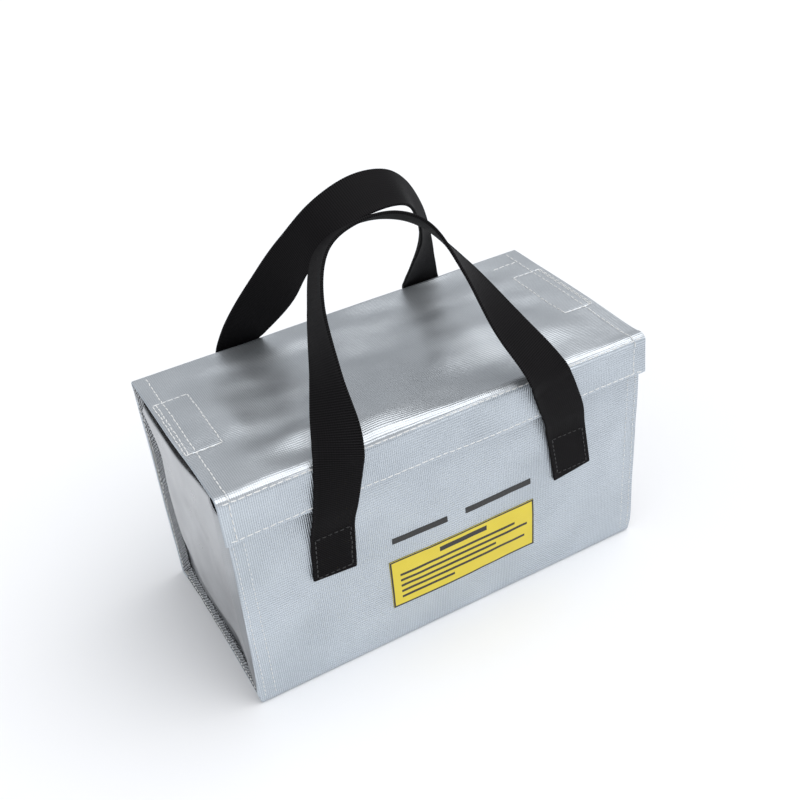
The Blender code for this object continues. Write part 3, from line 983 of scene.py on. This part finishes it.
def build_tapes():
    for node, name, body, material, facing in (
        ("front_closure_loop_tape", "loop_closure_tape", "bag", LOOP, -1),
        ("front_flap_hook_tape", "hook_closure_tape", "front_flap", HOOK, 1),
    ):
        low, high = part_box(node)
        face = low.y if facing < 0 else high.y

        def tape(x, z, face=face, facing=facing):
            y = face - facing * 0.1 * MM + facing * pile(x, z, 81, 0.08 * MM)
            return stacked(x, y, z)

        u = spread(low.x, high.x, 1.2 * MM)
        v = spread(low.z, high.z, 1.2 * MM)
        piece = rectangle(name, tape, u, v, TAPE, [material, material], turned=facing < 0)
        attach(piece, body, "loop_tape" if material is LOOP else "hook_tape", node)
    for side, name in SIDES:
        for node, label, body, material, facing in (
            (f"{name}_lid_hook_patch", f"{name}_lid_hooks", "lid", HOOK, -1),
            (f"{name}_end_flap_loop_patch", f"{name}_flap_loops", f"{name}_end_flap", LOOP, 1),
        ):
            low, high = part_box(node)
            face = low.z if facing < 0 else high.z

            def patch(x, y, face=face, facing=facing, side=side):
                z = face - facing * 0.1 * MM + facing * pile(x, y, 82, 0.08 * MM)
                if facing > 0:
                    flap = end_surface(side)(y, END_FLAP_START + END - END_RADIUS - np.abs(x))
                    z = z + np.minimum(flap[..., 2] - END_FOLD, 0)
                return stacked(x, y, z)

            u = spread(low.x, high.x, 1.2 * MM)
            v = spread(low.y, high.y, 1.2 * MM)
            piece = rectangle(label, patch, u, v, TAPE, [material, material], turned=facing > 0)
            attach(piece, body, "loop_tape" if material is LOOP else "hook_tape", node)


def build_label():
    """A yellow label with a black rim and plain bars in place of print."""
    low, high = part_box("front_label")
    rim = 1.1 * MM
    width, height = high.x - low.x, high.z - low.z
    bars = [(0.33, 0.66, 0.80, 0.90)]
    lines = ((0.86, 0.64), (0.95, 0.52), (0.72, 0.40), (0.93, 0.28), (0.42, 0.16))
    bars += [(0.06, end, level, level + 0.05) for end, level in lines]
    bar_x = [low.x + share * width for bar in bars for share in bar[:2]]
    bar_z = [low.z + share * height for bar in bars for share in bar[2:]]
    u = np.unique(np.round([*np.linspace(low.x, high.x, 49), low.x + rim, high.x - rim, *bar_x], 6))
    v = np.unique(np.round([*np.linspace(low.z, high.z, 19), low.z + rim, high.z - rim, *bar_z], 6))
    middle_u, middle_v = (u[1:] + u[:-1]) / 2, (v[1:] + v[:-1]) / 2
    cell_v, cell_u = np.meshgrid(middle_v, middle_u, indexing="ij")
    edge = (cell_u < low.x + rim) | (cell_u > high.x - rim)
    edge |= (cell_v < low.z + rim) | (cell_v > high.z - rim)
    dark = edge.astype(int)
    for x0, x1, z0, z1 in bars:
        inside = (cell_u > low.x + x0 * width) & (cell_u < low.x + x1 * width)
        inside &= (cell_v > low.z + z0 * height) & (cell_v < low.z + z1 * height)
        dark[inside] = 1
    piece = rectangle(
        "printed_label", front_plane(0.35 * MM), u, v, 0.3 * MM, [LABEL_YELLOW, LABEL_BLACK, LABEL_YELLOW],
        dark[:, ::-1], turned=True,
    )
    attach(piece, "bag", "label_film", "front_label")


def build_title_bars():
    """Two plain printed bars above the label."""
    for name, left, right in (("title_bar_left", -38.5, -3.5), ("title_bar_right", 8.5, 53.5)):
        u = spread(left * MM, right * MM, 2 * MM)
        v = np.linspace(74.3 * MM, 78.3 * MM, 5)
        black = [LABEL_BLACK, LABEL_BLACK]
        bar = rectangle(name, front_plane(0.12 * MM), u, v, 0.1 * MM, black, turned=True)
        attach(bar, "bag", "label_film")


# ------------ stitching

def build_stitches():
    body_rows = []
    for row in FRONT_ROWS:
        top, bottom = 24 * MM, RUNS[0] - 2 * MM
        start, end = ((front_row_x(row, s), s) for s in (top, bottom))
        body_rows.append(stitch_row(wrap, start, end, 3.4 * MM))
    piece = stitches("body_stitches", body_rows, WHITE_THREAD, length=2.3 * MM, width=0.5 * MM)
    attach(piece, "bag", "white_thread")

    lid_rows = []
    for side, _ in SIDES:
        lid_rows.append(stitch_row(wrap, (side * HEM_X, lid_s(LID_CUT)), (side * HEM_X, FLAP_TOP_ROW)))
        corner_low = (side * BOX_IN, lid_s(BOX_REAR))
        corner_high = (side * BOX_OUT, lid_s(BOX_FRONT))
        lid_rows += stitch_box(wrap, corner_low, corner_high)
        fine_x = side * (BOX_OUT - 1.6 * MM)
        lid_rows.append(stitch_row(wrap, (fine_x, lid_s(BOX_REAR)), (fine_x, lid_s(BOX_FRONT))))
        flap_x = side * 123.5 * MM
        lid_rows.append(stitch_row(wrap, (flap_x, FLAP_TOP_ROW), (flap_x, FLAP_HEM_ROW)))
    for row in (FLAP_TOP_ROW, FLAP_HEM_ROW):
        lid_rows.append(stitch_row(wrap, (-127 * MM, row), (129 * MM, row), 4.2 * MM))
    piece = stitches("lid_stitches", lid_rows, WHITE_THREAD, seed=2)
    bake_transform(piece)

    hinge_rows = [
        stitch_row(wrap, (side * HEM_X, LID_START + 1 * MM), (side * HEM_X, lid_s(LID_CUT)))
        for side, _ in SIDES
    ]
    faint = lid_s(47 * MM)
    hinge_rows.append(stitch_row(wrap, (104.5 * MM, faint), (122 * MM, faint)))
    piece = stitches("lid_hinge_stitches", hinge_rows, WHITE_THREAD, seed=3)
    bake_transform(piece)

    seam_rows, dark_rows = [], []
    for side, name in SIDES:
        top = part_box(f"{name}_rear_seam")[1].z
        low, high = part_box(f"{name}_bottom_seam")
        first, last = low.y + 3 * MM, high.y - 2 * MM
        rear, bottom = rear_strip(side), bottom_strip(side)
        for rows, surface, across, start, end, pitch in (
            (seam_rows, rear, 0.72, 4 * MM, top - 4 * MM, 3.4 * MM),
            (seam_rows, bottom, 0.3, first, last, 3.4 * MM),
            (dark_rows, bottom, 0.97, first, last, 3.0 * MM),
        ):
            rows.append(pointing_out(side, stitch_row(surface, (across, start), (across, end), pitch)))
    for name, rows, material, slot in (
        ("end_seam_stitches", seam_rows, WHITE_THREAD, "white_thread"),
        ("end_seam_needle_row", dark_rows, DARK_THREAD, "dark_thread"),
    ):
        piece = stitches(name, rows, material, length=2.3 * MM, width=0.8 * MM, height=0.65 * MM, seed=4)
        attach(piece, "bag", slot)


def pointing_out(side, row):
    """A row whose stitches face away from the bag's middle."""
    centre, direction, normal = row
    return centre, direction, normal * np.sign(normal[:, :1] * side)


# ------------ camera, floor and light

CAMERA_PLACE = (-0.21975, -0.47068, 0.47316)
CAMERA_AZIMUTH, CAMERA_ELEVATION, CAMERA_ROLL = map(math.radians, (-25.716, 34.384, 5.927))
CAMERA_LENS = 48.26
FLOOR_HALF = 40.0


def build_camera():
    data = bpy.data.cameras.new("camera")
    data.lens = CAMERA_LENS
    data.clip_start, data.clip_end = 0.01, 20
    camera = add_object("camera", data)
    level, down = math.cos(CAMERA_ELEVATION), -math.sin(CAMERA_ELEVATION)
    forward = Vector((-math.sin(CAMERA_AZIMUTH) * level, math.cos(CAMERA_AZIMUTH) * level, down))
    camera.location = CAMERA_PLACE
    camera.rotation_mode = "QUATERNION"
    camera.rotation_quaternion = forward.to_track_quat("-Z", "Y") @ Quaternion((0, 0, 1), -CAMERA_ROLL)
    bpy.context.scene.camera = camera


def soft_sun(name, towards, strength, angle):
    """A broad, even studio light that comes from the given direction."""
    data = bpy.data.lights.new(name, "SUN")
    data.energy = strength
    data.angle = math.radians(angle)
    light = add_object(name, data)
    light.rotation_mode = "QUATERNION"
    light.rotation_quaternion = Vector(towards).to_track_quat("Z", "Y")


def build_stage():
    nodes = Nodes("pale_floor", Roughness=0.9)
    place = nodes.add("TexCoord", {}, output=3)
    nodes.colour(nodes.noise(place, 0.6), (0.90, 0.90, 0.91), (0.92, 0.92, 0.93))
    mesh = bpy.data.meshes.new("floor")
    corners = [(x * FLOOR_HALF, y * FLOOR_HALF, 0) for x, y in ((-1, -1), (1, -1), (1, 1), (-1, 1))]
    mesh.from_pydata(corners, [], [(0, 1, 2, 3)])
    mesh.materials.append(nodes.material)
    add_object("floor", mesh)
    world = bpy.data.worlds.new("studio")
    world.use_nodes = True
    world.node_tree.nodes["Background"].inputs["Color"].default_value = (0.93, 0.96, 1.0, 1)
    world.node_tree.nodes["Background"].inputs["Strength"].default_value = 0.56
    bpy.context.scene.world = world
    bpy.context.scene.view_settings.view_transform = "Standard"
    soft_sun("key", (0.36, -0.25, 0.9), 2.0, 68)
    soft_sun("fill", (-0.85, -0.2, 0.5), 0.3, 70)


build_camera()
build_stage()
build_long_sheet()
build_ends()
build_end_seams()
build_front_corners()
build_tapes()
build_label()
build_title_bars()
build_straps()
build_strap_stitches()
build_stitches()
